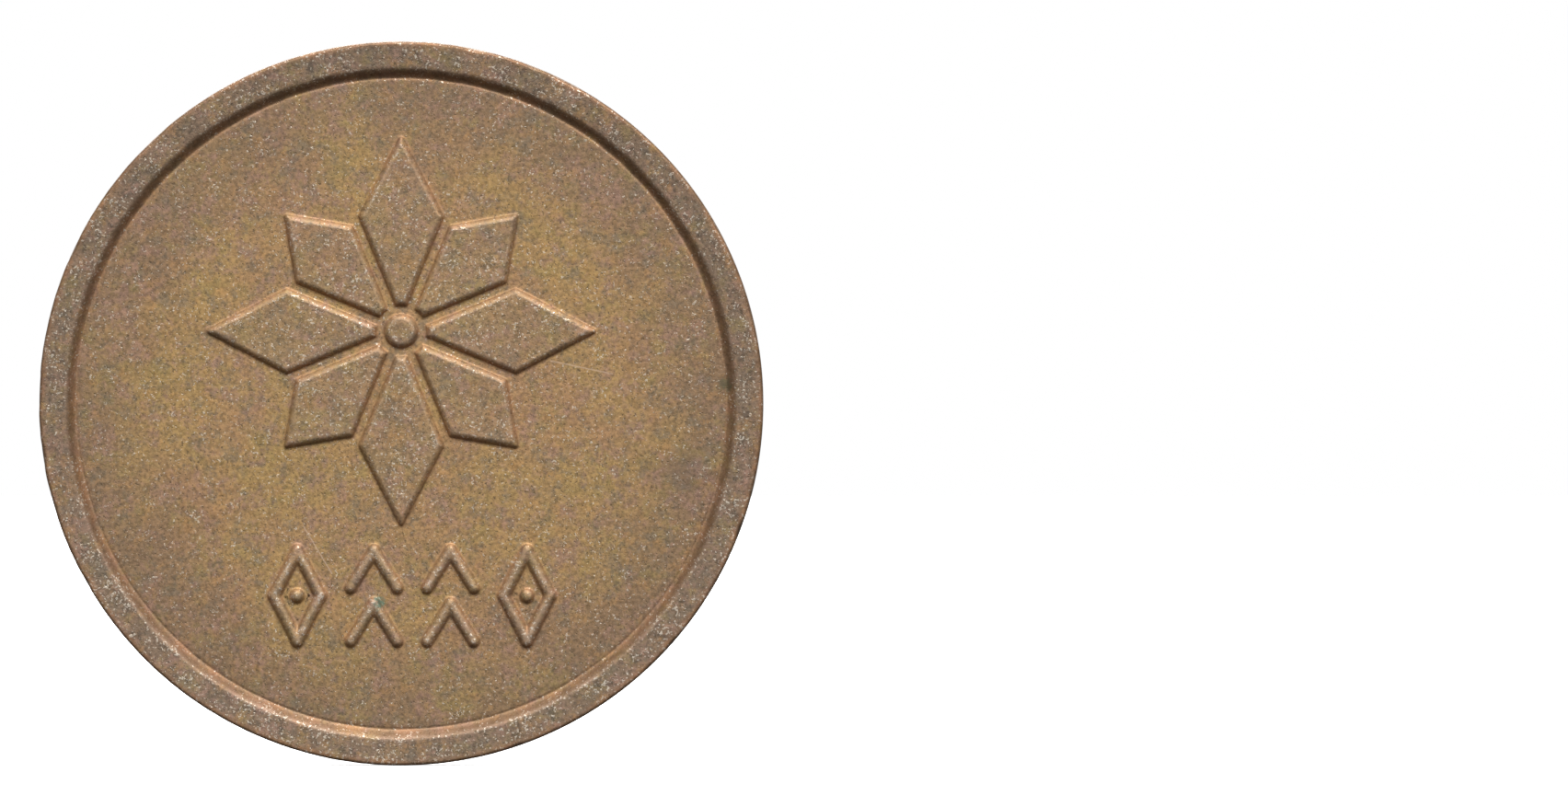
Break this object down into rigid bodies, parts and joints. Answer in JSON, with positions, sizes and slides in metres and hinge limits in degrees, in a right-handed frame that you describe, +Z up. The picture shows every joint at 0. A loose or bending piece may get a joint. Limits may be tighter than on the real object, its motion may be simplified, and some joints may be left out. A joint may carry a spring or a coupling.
{
  "type": "transit token",
  "caption": "Small round struck metal fare token with raised rims, a compass star on the front and a train's front in a ring with ornaments on the back.",
  "frame": {"origin": "centre of the disc, midway between its two faces", "axes": "the token stands on its edge: +Y along the disc's axis from the front face to the back face, +Z up on both faces, +X to the right of someone looking at the front"},
  "size_m": [0.023, 0.0018, 0.023],
  "materials": {
    "field": "worn copper alloy with a brown patina, fine grain and small bright flecks",
    "relief": "the same patinated alloy, with coppery worn edges and dark dirt at the foot of each wall"
  },
  "bodies": {
    "root": {"blank": "field", "star_hub": "relief", "star_point_1": "relief", "star_point_2": "relief", "star_point_3": "relief", "star_point_4": "relief", "star_point_5": "relief", "star_point_6": "relief", "star_point_7": "relief", "star_point_8": "relief", "row_ornament_1": "relief", "row_ornament_2": "relief", "row_ornament_3": "relief", "row_ornament_4": "relief", "raised_ring": "relief", "train_cab": "relief", "rail_left": "relief", "rail_right": "relief", "tie_upper": "relief", "tie_lower": "relief", "asterisk_left": "relief", "asterisk_right": "relief", "upper_ornament_01": "relief", "upper_ornament_02": "relief", "upper_ornament_03": "relief", "upper_ornament_04": "relief", "upper_ornament_05": "relief", "upper_ornament_06": "relief", "upper_ornament_07": "relief", "upper_ornament_08": "relief", "upper_ornament_09": "relief", "upper_ornament_10": "relief", "lower_ornament_01": "relief", "lower_ornament_02": "relief", "lower_ornament_03": "relief", "lower_ornament_04": "relief", "lower_ornament_05": "relief", "lower_ornament_06": "relief", "lower_ornament_07": "relief", "lower_ornament_08": "relief", "lower_ornament_09": "relief", "lower_ornament_10": "relief", "lower_ornament_11": "relief", "lower_ornament_12": "relief", "lower_ornament_13": "relief"}
  },
  "joints": []
}
